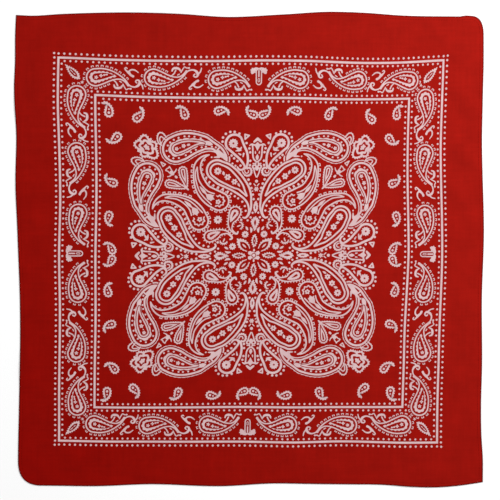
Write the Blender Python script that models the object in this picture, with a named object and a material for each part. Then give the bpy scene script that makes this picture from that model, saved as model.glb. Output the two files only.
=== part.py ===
"""A square cotton bandana spread out flat, printed face up.

Metres, +Z up, +X to the right along the top edge, +Y towards the top edge. The origin is on the surface
that the cloth lies on, under the middle of its box.

The maker cuts one square of cloth and hems its four edges. So there are five pieces: the panel, a wall of
even thickness, and four hems, the turned-under strips that lie beneath the panel's rim. The panel rests on
the surface, climbs over the hems along its rim, and lifts in a few soft folds.
"""

import math

import bpy
import numpy as np

MM = 0.001

# The finished square, between its corners
SQUARE_WIDTH = 547 * MM
SQUARE_HEIGHT = 548 * MM

# The walls, and the gap between two pieces that touch
PANEL_WALL = 1.0 * MM
HEM_WALL = 1.0 * MM
SEAM_GAP = 0.3 * MM

# The hem's width, and the band inside it where the panel comes down to the surface
HEM_WIDTH = 5.0 * MM
CLIMB_WIDTH = 4.5 * MM

# Columns: how far the corner is pulled from the true square's corner along x and along y, and how far the
# rounding reaches along the top or bottom edge and along the left or right edge, all in mm
CORNERS_MM = {
    "bottom_left": (3.5, -2.0, 27.0, 28.0),
    "bottom_right": (0.0, 2.0, 0.0, 0.0),
    "top_left": (1.0, 0.5, 0.0, 0.0),
    "top_right": (1.0, 0.0, 15.5, 23.0),
}

# Each edge wanders from the straight line between its corners. Columns: share of the way along the edge,
# left to right or bottom to top, and how far the edge stands out there in mm
EDGE_WANDER_MM = {
    "bottom": (
        (0.06, 0.3), (0.17, 1.3), (0.28, -0.5), (0.44, 2.4), (0.55, -0.3), (0.63, 0.6), (0.70, 1.3), (0.79, 2.4),
        (0.85, 5.0), (0.90, 5.7), (0.95, 3.8),
    ),
    "right": (
        (0.05, 0.0), (0.10, -1.7), (0.16, -2.2), (0.25, -1.1), (0.40, -1.4), (0.52, 0.7), (0.73, -1.6),
        (0.92, 0.2),
    ),
    "top": (
        (0.03, -0.8), (0.10, 1.3), (0.25, 3.0), (0.35, 1.4), (0.45, -2.0), (0.57, 0.9), (0.67, 4.1), (0.75, 2.8),
        (0.82, 0.0), (0.94, -1.2), (0.975, -1.2),
    ),
    "left": (
        (0.06, 0.0), (0.16, -1.3), (0.38, -3.1), (0.53, -0.6), (0.65, 1.6), (0.74, 0.4), (0.85, 2.7), (0.90, 1.5),
        (0.96, 1.1),
    ),
}

# Each edge's first and last corner
EDGE_ENDS = {
    "bottom": ("bottom_left", "bottom_right"),
    "right": ("bottom_right", "top_right"),
    "top": ("top_left", "top_right"),
    "left": ("bottom_left", "top_left"),
}

# The end of the top hem's fold stands out as a small step, this share of the way along
FOLD_STEP_SHARE = 0.952
FOLD_STEP_OUT = 1.5 * MM
FOLD_STEP_RUN = 4.0 * MM

# The soft folds where the cloth lifts off the surface. Columns: centre x and y, the fold's direction in
# degrees from +X, its half length, its half width and its height, with every length in mm
FOLDS_MM = (
    (2, 250, 45, 48, 20, 1.6),
    (-103, 274, 0, 90, 26, 1.8),
    (145, 246, 40, 42, 20, 1.4),
    (250, 228, -38, 46, 18, 1.8),
    (252, 176, -52, 52, 18, 2.2),
    (248, 120, -50, 50, 17, 2.0),
    (252, 52, -60, 62, 18, 2.0),
    (250, -62, 75, 70, 20, 1.6),
    (238, -150, -48, 46, 20, 1.4),
    (204, -262, 8, 52, 20, 1.8),
    (62, -244, -32, 52, 20, 1.3),
    (-212, -240, -42, 50, 20, 1.5),
    (-254, 186, 62, 56, 20, 1.9),
    (-252, 40, -70, 64, 18, 1.4),
    (-250, -118, 60, 60, 19, 1.5),
)

# Steps along each edge: close together near the corners, even between them
CORNER_STEPS_MM = (0, 3, 7, 12, 18, 25, 33)
EVEN_STEPS = 24

# How far to either side an edge's direction is read
SLOPE_STEP = 0.05 * MM

# Colours as linear RGB, and roughness
PANEL_RED = (0.305, 0.008, 0.005)
HEM_RED = (0.242, 0.006, 0.004)
COTTON_ROUGHNESS = 0.9


def clear_scene():
    for thing in list(bpy.data.objects):
        bpy.data.objects.remove(thing)


def corner(name):
    """The corner's point, and its rounding along the flat edges and along the upright edges."""
    pull_x, pull_y, round_across, round_up = CORNERS_MM[name]
    side_x = 1 if name.endswith("right") else -1
    side_y = 1 if name.startswith("top") else -1
    square = np.array([side_x * SQUARE_WIDTH / 2, side_y * SQUARE_HEIGHT / 2])
    return square + np.array([pull_x, pull_y]) * MM, round_across * MM, round_up * MM


def smooth_curve(rows, share):
    """A smooth curve through the rows and through 0 at both ends, with the slope at each row taken from
    the rows beside it."""
    x = np.array([0.0] + [row[0] for row in rows] + [1.0])
    y = np.array([0.0] + [row[1] for row in rows] + [0.0])
    slope = np.gradient(y, x)
    i = np.clip(np.searchsorted(x, share, side="right") - 1, 0, len(x) - 2)
    step = x[i + 1] - x[i]
    t = (share - x[i]) / step
    return (
        (2 * t**3 - 3 * t**2 + 1) * y[i]
        + (t**3 - 2 * t**2 + t) * step * slope[i]
        + (3 * t**2 - 2 * t**3) * y[i + 1]
        + (t**3 - t**2) * step * slope[i + 1]
    )


def rounded(distance, own_reach, other_reach):
    """Half of a corner's parabolic rounding, by distance from the corner: how far along the edge the point
    is, and how far the rounding takes it inwards."""
    if own_reach == 0:
        return distance, np.zeros_like(distance)
    t = 0.5 * np.clip(1 - distance / own_reach, 0, 1)
    along = np.where(distance < own_reach, own_reach * (1 - t) ** 2, distance)
    return along, other_reach * t**2


def edge_steps(length):
    """Distances from an edge's start, close together near both corners."""
    near = np.array(CORNER_STEPS_MM) * MM
    middle = np.linspace(near[-1], length - near[-1], EVEN_STEPS + 1)[1:-1]
    return np.concatenate([near, middle, length - near[::-1]])


def edge_curve(name):
    """One edge's length between its corners, and the function that gives its points by distance along it."""
    start_name, end_name = EDGE_ENDS[name]
    start, start_across, start_up = corner(start_name)
    end, end_across, end_up = corner(end_name)
    flat = name in ("top", "bottom")
    start_own, start_other = (start_across, start_up) if flat else (start_up, start_across)
    end_own, end_other = (end_across, end_up) if flat else (end_up, end_across)
    length = float(np.linalg.norm(end - start))
    way = (end - start) / length
    outward = np.array([-way[1], way[0]]) * outward_turn(name)

    def curve(distance):
        from_start, in_at_start = rounded(distance, start_own, start_other)
        from_end, in_at_end = rounded(length - distance, end_own, end_other)
        along = np.where(distance < length / 2, from_start, length - from_end)
        out = smooth_curve(EDGE_WANDER_MM[name], distance / length) * MM
        if name == "top":
            step_at = FOLD_STEP_SHARE * length
            rise = np.clip((distance - step_at) / FOLD_STEP_RUN, 0, 1)
            out = out + FOLD_STEP_OUT * rise * np.clip((length - distance) / (length - step_at), 0, 1)
        return start + along[:, None] * way + (out - in_at_start - in_at_end)[:, None] * outward

    return length, curve


def outward_turn(name):
    """Whether the square's outside is on the left, 1, or on the right, -1, along an edge."""
    return 1 if name in ("top", "left") else -1


def edge(name, inset):
    """Points along one edge, moved in by the inset. At a sharp corner the line stops short by the inset,
    where it meets the next edge's. At a rounded corner it fans round."""
    length, curve = edge_curve(name)
    start_short, end_short = (0 if CORNERS_MM[c][2] else inset for c in EDGE_ENDS[name])
    distance = start_short + edge_steps(length) * (length - start_short - end_short) / length
    before = np.clip(distance - SLOPE_STEP, 0, length)
    after = np.clip(distance + SLOPE_STEP, 0, length)
    way = curve(after) - curve(before)
    way /= np.linalg.norm(way, axis=1)[:, None]
    inward = np.stack([way[:, 1], -way[:, 0]], axis=1) * outward_turn(name)
    return curve(distance) + inset * inward


def outline(inset):
    """The closed outline moved in by the inset, anticlockwise from the bottom left corner."""
    bottom, right, top, left = (edge(name, inset) for name in ("bottom", "right", "top", "left"))
    return np.vstack([bottom, right[1:-1], top[::-1], left[-2:0:-1]])


def grid_ring(steps):
    """The boundary of a square grid, as (column, row) pairs in the outline's order."""
    run = np.arange(steps)
    across = np.concatenate([run, np.full(steps, steps), steps - run, np.zeros(steps, int)])
    up = np.concatenate([np.zeros(steps, int), run, np.full(steps, steps), steps - run])
    return across, up


def filled_grid(loop):
    """A square grid stretched inside the loop: each point is blended from the four sides, less the blend
    of the four corners."""
    steps = len(loop) // 4
    closed = np.vstack([loop, loop[:1]])
    bottom = closed[: steps + 1]
    right = closed[steps : 2 * steps + 1]
    top = closed[2 * steps : 3 * steps + 1][::-1]
    left = closed[3 * steps :][::-1]
    share = edge_steps(SQUARE_WIDTH) / SQUARE_WIDTH
    u = share[:, None, None]
    v = share[None, :, None]
    sides = (1 - v) * bottom[:, None] + v * top[:, None] + (1 - u) * left[None] + u * right[None]
    corners = (1 - u) * (1 - v) * bottom[0] + u * (1 - v) * bottom[-1] + (1 - u) * v * top[0] + u * v * top[-1]
    return sides - corners


def fold_lift(points):
    """How far the folds lift the cloth: each is a raised cosine across its width and along its length."""
    lift = np.zeros(points.shape[:-1])
    for x, y, turn, half_length, half_width, height in FOLDS_MM:
        away = points / MM - np.array([x, y])
        cos, sin = math.cos(math.radians(turn)), math.sin(math.radians(turn))
        along = np.clip(np.abs(away @ np.array([cos, sin])) / half_length, 0, 1)
        across = np.clip(np.abs(away @ np.array([-sin, cos])) / half_width, 0, 1)
        one = height * MM * (0.5 + 0.5 * np.cos(np.pi * along)) * (0.5 + 0.5 * np.cos(np.pi * across))
        lift = np.maximum(lift, one)
    return lift


def at_height(points, height):
    """Flat points with their height above the surface."""
    flat = points.reshape(-1, 2)
    return np.column_stack([flat, np.broadcast_to(height, points.shape[:-1]).reshape(-1)])


def cotton(name, colour):
    material = bpy.data.materials.new(name)
    material.use_nodes = True
    shader = material.node_tree.nodes["Principled BSDF"]
    shader.inputs["Base Color"].default_value = (*colour, 1)
    shader.inputs["Roughness"].default_value = COTTON_ROUGHNESS
    shader.inputs["Metallic"].default_value = 0
    material.diffuse_color = (*colour, 1)
    return material


def add_solid(name, points, faces, colour):
    mesh = bpy.data.meshes.new(name)
    mesh.from_pydata(points.tolist(), [], [tuple(face) for face in faces])
    mesh.shade_smooth()
    mesh.set_sharp_from_angle(angle=math.radians(40))
    mesh.materials.append(cotton(name + "_cotton", colour))
    solid = bpy.data.objects.new(name, mesh)
    bpy.context.scene.collection.objects.link(solid)


def panel(centre):
    """The square of cloth: a wall whose rim lies over the hems and whose middle rests on the surface."""
    loop = outline(0) - centre
    over_hem = outline(HEM_WIDTH) - centre
    grid = filled_grid(outline(HEM_WIDTH + CLIMB_WIDTH) - centre)
    size = len(loop)
    steps = size // 4
    rim_height = HEM_WALL + SEAM_GAP
    under = np.vstack([
        at_height(loop, fold_lift(loop) + rim_height),
        at_height(over_hem, fold_lift(over_hem) + rim_height),
        at_height(grid, fold_lift(grid)),
    ])
    over = under + np.array([0, 0, PANEL_WALL])
    count = len(under)

    here = np.arange(size)
    after = (here + 1) % size
    across, up = grid_ring(steps)
    inner = 2 * size + across * (steps + 1) + up
    rim_band = np.stack([here, after, size + after, size + here], axis=1)
    climb_band = np.stack([size + here, size + after, inner[after], inner[here]], axis=1)
    column, row = np.meshgrid(np.arange(steps), np.arange(steps), indexing="ij")
    cell = (2 * size + column * (steps + 1) + row).ravel()
    cells = np.stack([cell, cell + steps + 1, cell + steps + 2, cell + 1], axis=1)
    sheet = np.vstack([rim_band, climb_band, cells])
    rim = np.stack([here, after, count + after, count + here], axis=1)
    faces = np.vstack([sheet[:, ::-1], sheet + count, rim])
    add_solid("panel", np.vstack([under, over]), faces, PANEL_RED)


def hem(name, centre, place):
    """One turned-under strip beneath the panel's rim, from corner to corner, with its ends mitred and
    drawn back by half the seam gap. Its place is its turn round the outline."""
    loop = outline(0) - centre
    steps = len(loop) // 4
    index = np.arange(place * steps, (place + 1) * steps + 1) % len(loop)
    outer = loop[index]
    inner = (outline(HEM_WIDTH - SEAM_GAP) - centre)[index]
    for line in (outer, inner):
        for end, beside in ((0, 1), (-1, -2)):
            step = line[beside] - line[end]
            line[end] += step * (SEAM_GAP * math.sqrt(0.5) / np.linalg.norm(step))
    rails = []
    for line, height in ((outer, 0), (inner, 0), (inner, HEM_WALL), (outer, HEM_WALL)):
        rails.append(at_height(line, fold_lift(line) + height))
    count = len(index)
    here = np.arange(count - 1)
    faces = []
    for rail in range(4):
        a = rail * count + here
        b = ((rail + 1) % 4) * count + here
        faces.append(np.stack([a, b, b + 1, a + 1], axis=1))
    ends = np.array([[3, 2, 1, 0], [0, 1, 2, 3]]) * count
    ends[1] += count - 1
    add_solid(name, np.vstack(rails), np.vstack(faces + [ends]), HEM_RED)


def build():
    clear_scene()
    loop = outline(0)
    centre = (loop.min(0) + loop.max(0)) / 2
    panel(centre)
    for place, name in enumerate(("hem_bottom", "hem_right", "hem_top", "hem_left")):
        hem(name, centre, place)


build()
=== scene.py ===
"""A red cotton bandana with a pale paisley print, laid flat with its printed face up.

Metres, +Z up, +Y towards the top edge. The cloth is one thin shell over the hems. The print is drawn flat in
millimetres about its own middle, one eighth or one side at a time, is turned and mirrored about that middle,
is pulled a little out of true as the cloth is, and is then laid on the cloth's height.
"""

import math

import bpy
import numpy as np
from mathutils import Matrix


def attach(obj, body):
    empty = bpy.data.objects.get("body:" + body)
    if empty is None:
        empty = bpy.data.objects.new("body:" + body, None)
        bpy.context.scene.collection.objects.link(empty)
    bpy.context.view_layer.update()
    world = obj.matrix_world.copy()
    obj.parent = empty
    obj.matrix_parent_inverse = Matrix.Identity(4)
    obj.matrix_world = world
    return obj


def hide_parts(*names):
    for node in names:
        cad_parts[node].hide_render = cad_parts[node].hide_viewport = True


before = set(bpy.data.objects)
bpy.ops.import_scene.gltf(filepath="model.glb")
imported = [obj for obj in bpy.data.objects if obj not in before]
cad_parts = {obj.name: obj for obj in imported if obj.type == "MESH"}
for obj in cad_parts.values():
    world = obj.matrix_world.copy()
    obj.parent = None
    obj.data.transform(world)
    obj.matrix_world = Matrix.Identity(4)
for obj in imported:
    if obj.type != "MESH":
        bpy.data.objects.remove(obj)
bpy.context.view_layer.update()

MM = 0.001

# ---- the cloth's shape

SQUARE_WIDTH = 547 * MM
SQUARE_HEIGHT = 548 * MM

# Columns: the corner's pull from the true square's corner along x and y, and how far its rounding reaches
# along the flat edge and along the upright edge, all in mm
CORNERS_MM = {
    "bottom_left": (3.5, -2.0, 27.0, 28.0),
    "bottom_right": (0.0, 2.0, 0.0, 0.0),
    "top_left": (1.0, 0.5, 0.0, 0.0),
    "top_right": (1.0, 0.0, 15.5, 23.0),
}

# Columns: share of the way along the edge, left to right or bottom to top, and how far it stands out in mm
EDGE_WANDER_MM = {
    "bottom": (
        (0.06, 0.3), (0.17, 1.3), (0.28, -0.5), (0.44, 2.4), (0.55, -0.3), (0.63, 0.6), (0.70, 1.3),
        (0.79, 2.4), (0.85, 5.0), (0.90, 5.7), (0.95, 3.8),
    ),
    "right": (
        (0.05, 0.0), (0.10, -1.7), (0.16, -2.2), (0.25, -1.1), (0.40, -1.4), (0.52, 0.7), (0.73, -1.6),
        (0.92, 0.2),
    ),
    "top": (
        (0.03, -0.8), (0.10, 1.3), (0.25, 3.0), (0.35, 1.4), (0.45, -2.0), (0.57, 0.9), (0.67, 4.1),
        (0.75, 2.8), (0.82, 0.0), (0.94, -1.2), (0.975, -1.2),
    ),
    "left": (
        (0.06, 0.0), (0.16, -1.3), (0.38, -3.1), (0.53, -0.6), (0.65, 1.6), (0.74, 0.4), (0.85, 2.7),
        (0.90, 1.5), (0.96, 1.1),
    ),
}
EDGE_ENDS = {
    "bottom": ("bottom_left", "bottom_right"),
    "right": ("bottom_right", "top_right"),
    "top": ("top_left", "top_right"),
    "left": ("bottom_left", "top_left"),
}

# The end of the top hem's fold stands out as a small step
FOLD_STEP_SHARE = 0.952
FOLD_STEP_OUT = 1.5 * MM
FOLD_STEP_RUN = 4.0 * MM

# Soft folds. Columns: centre x and y, direction in degrees from +X, half length, half width, height, in mm
FOLDS_MM = (
    (2, 250, 45, 48, 20, 1.6),
    (-103, 274, 0, 90, 26, 1.8),
    (145, 246, 40, 42, 20, 1.4),
    (250, 228, -38, 46, 18, 1.8),
    (252, 176, -52, 52, 18, 2.2),
    (248, 120, -50, 50, 17, 2.0),
    (252, 52, -60, 62, 18, 2.0),
    (250, -62, 75, 70, 20, 1.6),
    (238, -150, -48, 46, 20, 1.4),
    (204, -262, 8, 52, 20, 1.8),
    (62, -244, -32, 52, 20, 1.3),
    (-212, -240, -42, 50, 20, 1.5),
    (-254, 186, 62, 56, 20, 1.9),
    (-252, 40, -70, 64, 18, 1.4),
    (-250, -118, 60, 60, 19, 1.5),
)

CLOTH_WALL = 0.45 * MM
CLOTH_REST = 0.05 * MM  # the underside's height over the surface
HEM_RISE = 0.34 * MM  # how much higher the rim lies, over the hem
HEM_WALL = 0.28 * MM
HEM_START = 0.5 * MM  # how far in from the cloth's edge the turned-under strip begins
HEM_END = 4.8 * MM
CLIMB_END = 14 * MM  # how far in from the edge the cloth is down at its rest
FROM_EDGE_UNIT = 10 * MM  # what the cloth's attribute for the distance from its edge counts in
STITCH_INSET = 4.2 * MM
STITCH_DIP = 0.12 * MM
STITCH_LENGTH = 2.2 * MM
STITCH_PITCH = 3.0 * MM
STITCH_ARCH = 2.2  # how high a stitch arches and how deep its ends are sunk, in thread radii
STITCH_SUNK = 0.6
THREAD_RADIUS = 0.16 * MM
EDGE_CELLS = 180
CURVE_STEPS = 30  # to each row of a table that a smooth curve runs through
PUCKER_HEIGHT = 0.10 * MM
PUCKER_WAVES = ((11 * MM, 0), (18.7 * MM, 1.3))  # columns: length, phase in radians
PUCKER_GROWS = 2 * MM  # over how far from the edge, and how far before the climb's end
PUCKER_FADES = 4 * MM
PRINT_LIFT = 0.07 * MM  # the print's height over the cloth
PRINT_LEVEL = 0.005 * MM  # and how much higher each later stroke of a motif lies, so that none share a plane


def srgb(code):
    """The linear colour of an sRGB hex code."""
    parts = np.array([int(code[i : i + 2], 16) for i in (1, 3, 5)]) / 255
    linear = np.where(parts <= 0.04045, parts / 12.92, ((parts + 0.055) / 1.055) ** 2.4)
    return (*linear.tolist(), 1.0)


def cubic(at, rows, where):
    """The smooth curve through rows that stand at the given places, read off at other places. Each column
    follows the cubic 2t3-3t2+1, t3-2t2+t, 3t2-2t3, t3-t2 between neighbours, with the slopes taken from the
    rows beside."""
    slope = np.gradient(rows, at, axis=0)
    i = np.clip(np.searchsorted(at, where, side="right") - 1, 0, len(at) - 2)
    step = (at[i + 1] - at[i])[:, None]
    t = (where - at[i])[:, None] / step
    return (
        (2 * t**3 - 3 * t**2 + 1) * rows[i]
        + (t**3 - 2 * t**2 + t) * step * slope[i]
        + (3 * t**2 - 2 * t**3) * rows[i + 1]
        + (t**3 - t**2) * step * slope[i + 1]
    )


def lengths(line):
    """How far along a line each of its points is."""
    return np.concatenate([[0], np.cumsum(np.hypot(*np.diff(line[:, :2], axis=0).T))])


def sampled(line, at):
    """A line's rows at the given distances along it."""
    length = lengths(line)
    return np.column_stack([np.interp(at, length, column) for column in line.T])


def closed(line):
    """A line with its first row again at its end."""
    return np.vstack([line, line[:1]])


def through(rows, count):
    """Rows at even distances along the smooth curve through the given rows."""
    rows = np.asarray(rows, float)
    at = lengths(rows)
    curve = cubic(at, rows, np.linspace(0, at[-1], CURVE_STEPS * len(rows)))
    return sampled(curve, np.linspace(0, lengths(curve)[-1], count))


def corner(name):
    """The corner's point, and its rounding along the flat edges and along the upright edges."""
    pull_x, pull_y, round_across, round_up = CORNERS_MM[name]
    side_x = 1 if name.endswith("right") else -1
    side_y = 1 if name.startswith("top") else -1
    square = np.array([side_x * SQUARE_WIDTH / 2, side_y * SQUARE_HEIGHT / 2])
    return square + np.array([pull_x, pull_y]) * MM, round_across * MM, round_up * MM


def wander(rows, share):
    """The smooth curve through the rows and through 0 at both ends, at the given shares."""
    rows = np.array([(0, 0), *rows, (1, 0)], float)
    return cubic(rows[:, 0], rows[:, 1:], share)[:, 0]


def rounded(distance, own_reach, other_reach):
    """Half of a corner's parabola: t = (1 - distance / reach) / 2, along is reach (1 - t)^2, in is
    reach t^2."""
    if own_reach == 0:
        return distance, np.zeros_like(distance)
    t = 0.5 * np.clip(1 - distance / own_reach, 0, 1)
    along = np.where(distance < own_reach, own_reach * (1 - t) ** 2, distance)
    return along, other_reach * t**2


def edge(name, inset):
    """Points along one edge, moved straight in by the inset from the line between its corners. Each end stops
    short by the inset, and the rounding of its corner is that much smaller."""
    (start, *start_reaches), (end, *end_reaches) = (corner(end_name) for end_name in EDGE_ENDS[name])
    order = 1 if name in ("top", "bottom") else -1
    start_own, start_other = (max(reach - inset, 0) for reach in start_reaches[::order])
    end_own, end_other = (max(reach - inset, 0) for reach in end_reaches[::order])
    length = float(np.linalg.norm(end - start))
    way = (end - start) / length
    outward_side = np.array([-way[1], way[0]]) * (1 if name in ("top", "left") else -1)
    free = length - 2 * inset
    distance = np.linspace(0, free, EDGE_CELLS + 1)
    from_start, in_at_start = rounded(distance, start_own, start_other)
    from_end, in_at_end = rounded(free - distance, end_own, end_other)
    along = inset + np.where(distance < free / 2, from_start, free - from_end)
    share = (inset + distance) / length
    out = wander(EDGE_WANDER_MM[name], share) * MM - inset - in_at_start - in_at_end
    if name == "top":
        rise = np.clip((share - FOLD_STEP_SHARE) * length / FOLD_STEP_RUN, 0, 1)
        out = out + FOLD_STEP_OUT * rise * np.clip((1 - share) / (1 - FOLD_STEP_SHARE), 0, 1)
    return start + along[:, None] * way + out[:, None] * outward_side


def outline(inset):
    """The closed outline moved in by the inset, anticlockwise from the bottom left corner."""
    bottom, right, top, left = (edge(name, inset) for name in ("bottom", "right", "top", "left"))
    return np.vstack([bottom, right[1:-1], top[::-1], left[-2:0:-1]])


OUTLINE = outline(0)
CENTRE = (OUTLINE.min(0) + OUTLINE.max(0)) / 2


def fold_lift(points):
    """How far the folds lift the cloth: each is a raised cosine across its width and along its length."""
    lift = np.zeros(points.shape[:-1])
    for x, y, turn, half_length, half_width, height in FOLDS_MM:
        away = points / MM - np.array([x, y])
        cos, sin = math.cos(math.radians(turn)), math.sin(math.radians(turn))
        along = np.clip(np.abs(away @ np.array([cos, sin])) / half_length, 0, 1)
        across = np.clip(np.abs(away @ np.array([-sin, cos])) / half_width, 0, 1)
        one = height * MM * (0.5 + 0.5 * np.cos(np.pi * along)) * (0.5 + 0.5 * np.cos(np.pi * across))
        lift = np.maximum(lift, one)
    return lift


# ---- meshes


def grid_faces(rows, columns, closing=False):
    """The faces of a grid of points kept row by row. A closing grid joins its last row to its first."""
    row = np.arange(rows if closing else rows - 1)[:, None]
    column = np.arange(columns - 1)[None]
    a = (row * columns + column).ravel()
    b = (((row + 1) % rows) * columns + column).ravel()
    return np.stack([a, b, b + 1, a + 1], axis=1)


def tube_faces(sections, sides):
    """The walls and the two ends of a tube of points kept section by section."""
    ring = np.arange(sides)
    row = np.arange(sections - 1)[:, None] * sides
    a, b = row + ring, row + (ring + 1) % sides
    walls = np.stack([a, b, b + sides, a + sides], axis=2).reshape(-1, 4)
    return walls, ring[None, ::-1], ring[None] + (sections - 1) * sides


def new_piece(name, points, faces, material, smooth=True):
    """A mesh object from arrays: faces may hold three or four corners."""
    mesh = bpy.data.meshes.new(name)
    mesh.from_pydata(points.tolist(), [], [tuple(face) for group in faces for face in group.tolist()])
    mesh.polygons.foreach_set("use_smooth", np.full(len(mesh.polygons), smooth))
    mesh.materials.append(material)
    mesh.validate()
    piece = bpy.data.objects.new(name, mesh)
    bpy.context.scene.collection.objects.link(piece)
    return piece


def filled_grid(loop):
    """A square grid stretched inside the loop: each point is blended from the four sides, less the blend
    of the four corners."""
    steps = len(loop) // 4
    loop = closed(loop)
    bottom, right = loop[: steps + 1], loop[steps : 2 * steps + 1]
    top, left = loop[2 * steps : 3 * steps + 1][::-1], loop[3 * steps :][::-1]
    share = np.linspace(0, 1, steps + 1)
    u, v = share[:, None, None], share[None, :, None]
    sides = (1 - v) * bottom[:, None] + v * top[:, None] + (1 - u) * left[None] + u * right[None]
    low, high = (1 - u) * bottom[0] + u * bottom[-1], (1 - u) * top[0] + u * top[-1]
    corners = (1 - v) * low + v * high
    return sides - corners


def pucker(count):
    """The small waves that stitching pulls into the hem, round the outline: two sines of unlike length."""
    around = np.arange(count) / count * (4 * SQUARE_WIDTH)
    return PUCKER_HEIGHT * sum(np.sin(2 * np.pi * around / pitch + phase) for pitch, phase in PUCKER_WAVES)


# The rim's sections over the hem, from the edge in. Columns: inset in mm, share of the hem's rise, and share
# of the stitches' dip
RIM = (
    (0.9, 1, 0), (2.2, 1, 0), (3.4, 1, 0.3), (4.2, 1, 1), (5.0, 1, 0.3), (6.4, 0.88, 0), (8.2, 0.60, 0),
    (10.0, 0.28, 0), (11.8, 0.08, 0),
)
ROLLED_EDGE_DROP = 0.25 * MM


def make_cloth(material):
    """The square of cloth: a thin closed shell. Its rim turns over in a half round, lies over the hem, dips
    at the stitches and comes down to the surface; the middle is a grid."""
    half = CLOTH_WALL / 2
    # columns: inset, height of the wall's middle above its rest, half thickness there
    rim = [
        (half * (1 - turn), HEM_RISE - ROLLED_EDGE_DROP * (1 - turn), half * turn)
        for turn in np.sin(np.radians((0, 30, 60, 90)))
    ]
    rim += [(inset * MM, rise * HEM_RISE - dip * STITCH_DIP, half) for inset, rise, dip in RIM]
    steps = EDGE_CELLS
    around = 4 * steps
    wave = pucker(around)
    over, under = [], []
    for inset, rise, thick in rim:
        loop = outline(inset) - CENTRE
        growth = np.clip(inset / PUCKER_GROWS, 0, 1) * np.clip((CLIMB_END - inset) / PUCKER_FADES, 0, 1)
        middle = CLOTH_REST + half + rise + fold_lift(loop) + np.abs(wave * growth)
        over.append(np.column_stack([loop, middle + thick]))
        under.append(np.column_stack([loop, middle - thick]))
    grid = filled_grid(outline(CLIMB_END) - CENTRE).reshape(-1, 2)
    middle = CLOTH_REST + half + fold_lift(grid)
    over.append(np.column_stack([grid, middle + half]))
    under.append(np.column_stack([grid, middle - half]))

    # the numbers of each ring's points, and of the points round the grid's border
    run, none, whole = np.arange(steps), np.zeros(steps, int), np.full(steps, steps)
    across = np.concatenate([run, whole, steps - run, none])
    up = np.concatenate([none, run, whole, steps - run])
    grid_start = len(rim) * around
    rings = [ring * around + np.arange(around) for ring in range(len(rim))]
    rings.append(grid_start + across * (steps + 1) + up)
    top = [
        np.stack([outer, np.roll(outer, -1), np.roll(inner, -1), inner], axis=1)
        for outer, inner in zip(rings, rings[1:])
    ]
    top = np.vstack(top + [grid_faces(steps + 1, steps + 1) + grid_start])
    # the first ring has no thickness, so the upper and the lower side share it
    lower_start = grid_start + len(grid) - around
    bottom = np.where(top < around, top, top + lower_start)[:, ::-1]
    piece = new_piece("cloth", np.vstack(over + under[1:]), [top, bottom], material)
    insets = np.concatenate([np.repeat([row[0] for row in rim], around), np.full(len(grid), CLIMB_END)])
    from_edge = piece.data.attributes.new("from_edge", "FLOAT", "POINT")
    from_edge.data.foreach_set("value", np.concatenate([insets, insets[around:]]) / FROM_EDGE_UNIT)
    return piece


# The section of the bar in a hem. Columns: share of the way in, share of the wall's height
HEM_SECTION = ((0, 0.5), (0.06, 0.06), (0.5, 0), (0.94, 0.06), (1, 0.5), (0.94, 0.94), (0.5, 1), (0.06, 0.94))


def make_hem(name, material):
    """One turned-under strip beneath the cloth's rim: a rounded bar carried along the edge."""
    outer, inner = edge(name, HEM_START) - CENTRE, edge(name, HEM_END) - CENTRE
    rails = []
    for share, height in HEM_SECTION:
        line = outer * (1 - share) + inner * share
        rails.append(np.column_stack([line, CLOTH_REST + fold_lift(line) + height * HEM_WALL]))
    faces = tube_faces(EDGE_CELLS + 1, len(rails))
    if name in ("top", "left"):
        faces = [group[:, ::-1] for group in faces]
    return new_piece("hem_cloth_" + name, np.stack(rails, axis=1).reshape(-1, 3), faces, material)


def make_stitches(material):
    """The hem's row of stitches: each is a short thread that arches out of the cloth and back, a round
    section carried along a half sine."""
    loop = closed(outline(STITCH_INSET) - CENTRE)
    whole = lengths(loop)[-1]
    count = int(whole / STITCH_PITCH)
    rows, sides = 5, 6
    share = np.linspace(0, 1, rows)
    at = (np.arange(count) * (whole / count))[:, None] + share[None] * STITCH_LENGTH
    middle = sampled(loop, at.ravel() % whole).reshape(count, rows, 2)
    way = np.gradient(middle, axis=1)
    way /= np.linalg.norm(way, axis=2)[:, :, None]
    side = np.stack([-way[..., 1], way[..., 0]], axis=2)
    top = CLOTH_REST + CLOTH_WALL + HEM_RISE - STITCH_DIP + fold_lift(middle)
    arch = top + THREAD_RADIUS * (STITCH_ARCH * np.sin(np.pi * share)[None] - STITCH_SUNK)
    turn = 2 * np.pi * np.arange(sides) / sides
    flat = middle[:, :, None] + THREAD_RADIUS * np.cos(turn)[None, None, :, None] * side[:, :, None]
    high = arch[:, :, None] + THREAD_RADIUS * np.sin(turn)[None, None]
    points = np.concatenate([flat, high[..., None]], axis=3).reshape(-1, 3)
    step = (np.arange(count) * rows * sides)[:, None, None]
    faces = [(group[None] + step).reshape(-1, group.shape[1]) for group in tube_faces(rows, sides)]
    return new_piece("hem_stitches", points, faces, material)


# ---- the print's strokes, flat, in mm

STROKE_STEP = 1.3
PAST_ANY_HALF = 1e3  # an inset that takes the whole of a stroke's half width
SLIVER_AREA = 1e-3
TINY = 1e-9
WELD_DECIMALS = 3  # corners nearer than 0.001 mm are welded


def between(outer, inner, closing=True):
    """What lies between two lines of as many points each."""
    return np.stack([outer, inner], axis=1).reshape(-1, 2), grid_faces(len(outer), 2, closing)


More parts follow.
